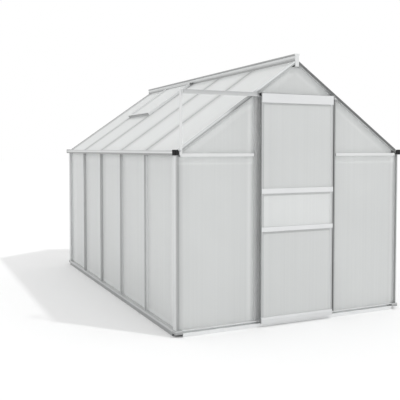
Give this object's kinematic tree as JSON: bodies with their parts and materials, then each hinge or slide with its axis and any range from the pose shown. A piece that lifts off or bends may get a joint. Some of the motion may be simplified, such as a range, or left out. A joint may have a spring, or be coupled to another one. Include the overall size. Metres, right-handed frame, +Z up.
{
  "type": "greenhouse",
  "caption": "Walk-in garden greenhouse with an aluminium frame, twin-wall sheets, a sliding door on a head track and a hinged roof vent with a stay.",
  "frame": {"origin": "on the ground, in the middle of the rectangle of the four anchor holes, which is the middle of the base", "axes": "+Z up, +Y from the door gable to the rear gable, +X to the right seen from the door; the door slides to -X and the vent is in the -X slope"},
  "size_m": [1.948, 3.076, 1.9545],
  "materials": {
    "aluminium": "satin mill finish",
    "door_aluminium": "bright satin",
    "polycarbonate": "translucent twin-wall sheet",
    "black_plastic": "moulded",
    "steel": "zinc plated"
  },
  "bodies": {
    "frame": {"base_corners": "aluminium", "base_rail_front": "aluminium", "base_rail_left": "aluminium", "base_rail_rear": "aluminium", "base_rail_right": "aluminium", "corner_post_front_left": "aluminium", "corner_post_front_right": "aluminium", "corner_post_rear_left": "aluminium", "corner_post_rear_right": "aluminium", "door_header": "aluminium", "door_post_left": "aluminium", "door_post_right": "aluminium", "door_track": "aluminium", "front_crossbars": "aluminium", "front_gable_sheets": "polycarbonate", "front_rafter_left": "aluminium", "front_rafter_right": "aluminium", "gutter_end_caps": "black_plastic", "gutter_left": "aluminium", "gutter_right": "aluminium", "rear_crossbars": "aluminium", "rear_gable_sheets": "polycarbonate", "rear_header": "aluminium", "rear_post_left": "aluminium", "rear_post_right": "aluminium", "rear_rafter_left": "aluminium", "rear_rafter_right": "aluminium", "ridge_beam": "aluminium", "ridge_end_caps": "aluminium", "roof_bars_left": "aluminium", "roof_bars_right": "aluminium", "roof_sheets_left": "polycarbonate", "roof_sheets_right": "polycarbonate", "track_bolts": "steel", "track_stops": "black_plastic", "track_strut": "aluminium", "vent_sill": "aluminium", "wall_bars_left": "aluminium", "wall_bars_right": "aluminium", "wall_sheets_left": "polycarbonate", "wall_sheets_right": "polycarbonate"},
    "door": {"door_bottom_rail": "door_aluminium", "door_guides": "black_plastic", "door_hangers": "steel", "door_head_rail": "door_aluminium", "door_mid_rail_lower": "door_aluminium", "door_mid_rail_upper": "door_aluminium", "door_sheet_lower": "polycarbonate", "door_sheet_middle": "polycarbonate", "door_sheet_upper": "polycarbonate", "door_stile_left": "aluminium", "door_stile_right": "aluminium"},
    "vent": {"vent_bottom_rail": "aluminium", "vent_pane": "polycarbonate", "vent_side_rails": "aluminium", "vent_top_rail": "aluminium"},
    "roller_left": {"door_roller_left": "black_plastic"},
    "roller_right": {"door_roller_right": "black_plastic"},
    "vent_stay": {"vent_stay": "steel"}
  },
  "joints": [
    {"name": "door_slide", "type": "slide", "parent": "frame", "child": "door", "axis": [-1, 0, 0], "range_m": [0, 0.572]},
    {"name": "roller_left_spin", "type": "hinge", "parent": "door", "child": "roller_left", "pos_m": [-0.3065, -1.533, 1.6513], "axis": [0, -1, 0], "range_deg": [0, 3643]},
    {"name": "roller_right_spin", "type": "hinge", "parent": "door", "child": "roller_right", "pos_m": [0.3065, -1.533, 1.6513], "axis": [0, -1, 0], "range_deg": [0, 3643]},
    {"name": "vent_hinge", "type": "hinge", "parent": "frame", "child": "vent", "pos_m": [-0.014, 0.6, 1.91846], "axis": [0, 1, 0], "range_deg": [0, 40]},
    {"name": "vent_stay_swing", "type": "hinge", "parent": "vent", "child": "vent_stay", "pos_m": [-0.42362, 0.6, 1.62013], "axis": [0, 1, 0], "range_deg": [0, 69.3]}
  ],
  "couplings": [
    {"joint": "roller_left_spin", "follows": "door_slide", "rad_per_m": 111.11},
    {"joint": "roller_right_spin", "follows": "door_slide", "rad_per_m": 111.11},
    {"joint": "vent_stay_swing", "follows": "vent_hinge", "ratio": 1.7201}
  ]
}
